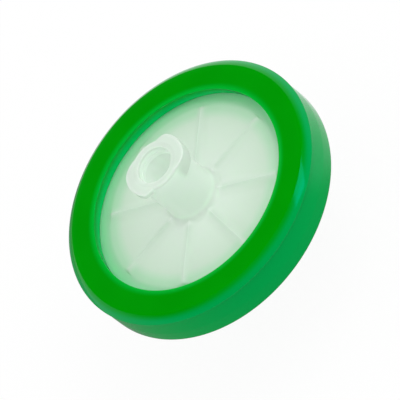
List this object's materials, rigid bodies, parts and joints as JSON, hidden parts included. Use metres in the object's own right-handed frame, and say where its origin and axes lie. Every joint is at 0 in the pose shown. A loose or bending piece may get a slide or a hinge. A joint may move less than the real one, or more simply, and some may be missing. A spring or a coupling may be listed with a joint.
{
  "type": "syringe filter",
  "caption": "Round disposable syringe filter with a female Luer-lock inlet, a male Luer-slip outlet and a green moulded sealing band round a milky ribbed housing.",
  "frame": {"origin": "centre of the inlet's mouth, in the plane of its rim, where a syringe screws on", "axes": "+Z along the filter's axis, out of the inlet and towards the syringe; +X through the two Luer lugs"},
  "size_m": [0.033, 0.033, 0.0225],
  "materials": {
    "green_polypropylene": "glossy moulded green polypropylene",
    "natural_polypropylene": "milky translucent moulded polypropylene",
    "membrane_film": "plain white microporous film"
  },
  "bodies": {
    "root": {"seal_band": "green_polypropylene", "inlet_housing": "natural_polypropylene", "membrane": "membrane_film", "outlet_housing": "natural_polypropylene"}
  },
  "joints": []
}
